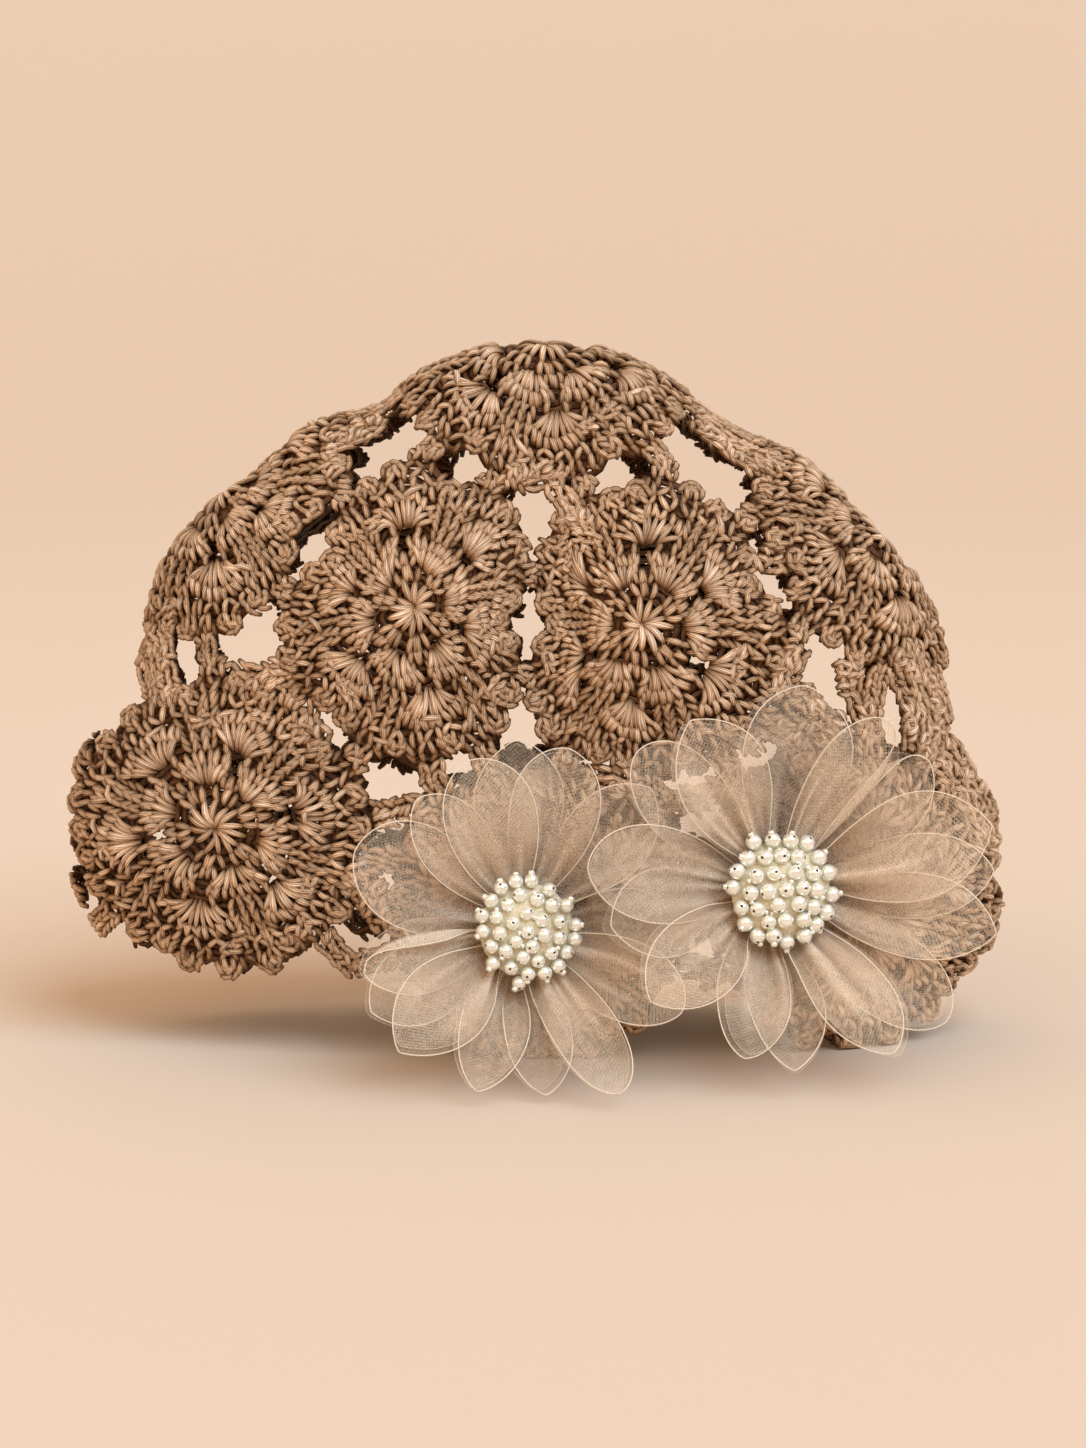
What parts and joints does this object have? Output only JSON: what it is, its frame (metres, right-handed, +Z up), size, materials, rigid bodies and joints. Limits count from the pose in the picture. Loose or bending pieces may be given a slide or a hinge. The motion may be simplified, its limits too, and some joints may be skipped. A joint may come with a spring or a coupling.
{
  "type": "crochet hat",
  "caption": "Crochet beanie of joined lace motifs, standing on its rim, with two organza flowers with pearl hearts sewn on the front.",
  "frame": {"origin": "under the middle of the whole hat's box, on the surface that the rim stands on", "axes": "+Z up from the rim to the crest; +X along the flattened hat's width; the flowers face -Y"},
  "size_m": [0.2693, 0.1333, 0.2005],
  "materials": {
    "crochet_cord": "satin twisted cord, crocheted",
    "organza": "sheer woven organza with a fine bright edge",
    "pearl": "ivory pearl lustre"
  },
  "bodies": {
    "root": {"crown_motif": "crochet_cord", "left_fold_motif": "crochet_cord", "right_fold_motif": "crochet_cord", "front_left_motif": "crochet_cord", "front_right_motif": "crochet_cord", "front_rim_left_motif": "crochet_cord", "front_rim_middle_motif": "crochet_cord", "front_rim_right_motif": "crochet_cord", "back_left_motif": "crochet_cord", "back_right_motif": "crochet_cord", "back_rim_left_motif": "crochet_cord", "back_rim_middle_motif": "crochet_cord", "back_rim_right_motif": "crochet_cord", "left_flower_pearl_heart": "pearl", "left_flower_petal_01": "organza", "left_flower_petal_02": "organza", "left_flower_petal_03": "organza", "left_flower_petal_04": "organza", "left_flower_petal_05": "organza", "left_flower_petal_06": "organza", "left_flower_petal_07": "organza", "left_flower_petal_08": "organza", "left_flower_petal_09": "organza", "left_flower_petal_10": "organza", "left_flower_petal_11": "organza", "left_flower_petal_12": "organza", "left_flower_petal_13": "organza", "left_flower_petal_14": "organza", "right_flower_pearl_heart": "pearl", "right_flower_petal_01": "organza", "right_flower_petal_02": "organza", "right_flower_petal_03": "organza", "right_flower_petal_04": "organza", "right_flower_petal_05": "organza", "right_flower_petal_06": "organza", "right_flower_petal_07": "organza", "right_flower_petal_08": "organza", "right_flower_petal_09": "organza", "right_flower_petal_10": "organza", "right_flower_petal_11": "organza", "right_flower_petal_12": "organza", "right_flower_petal_13": "organza", "right_flower_petal_14": "organza", "right_flower_petal_15": "organza"}
  },
  "joints": []
}
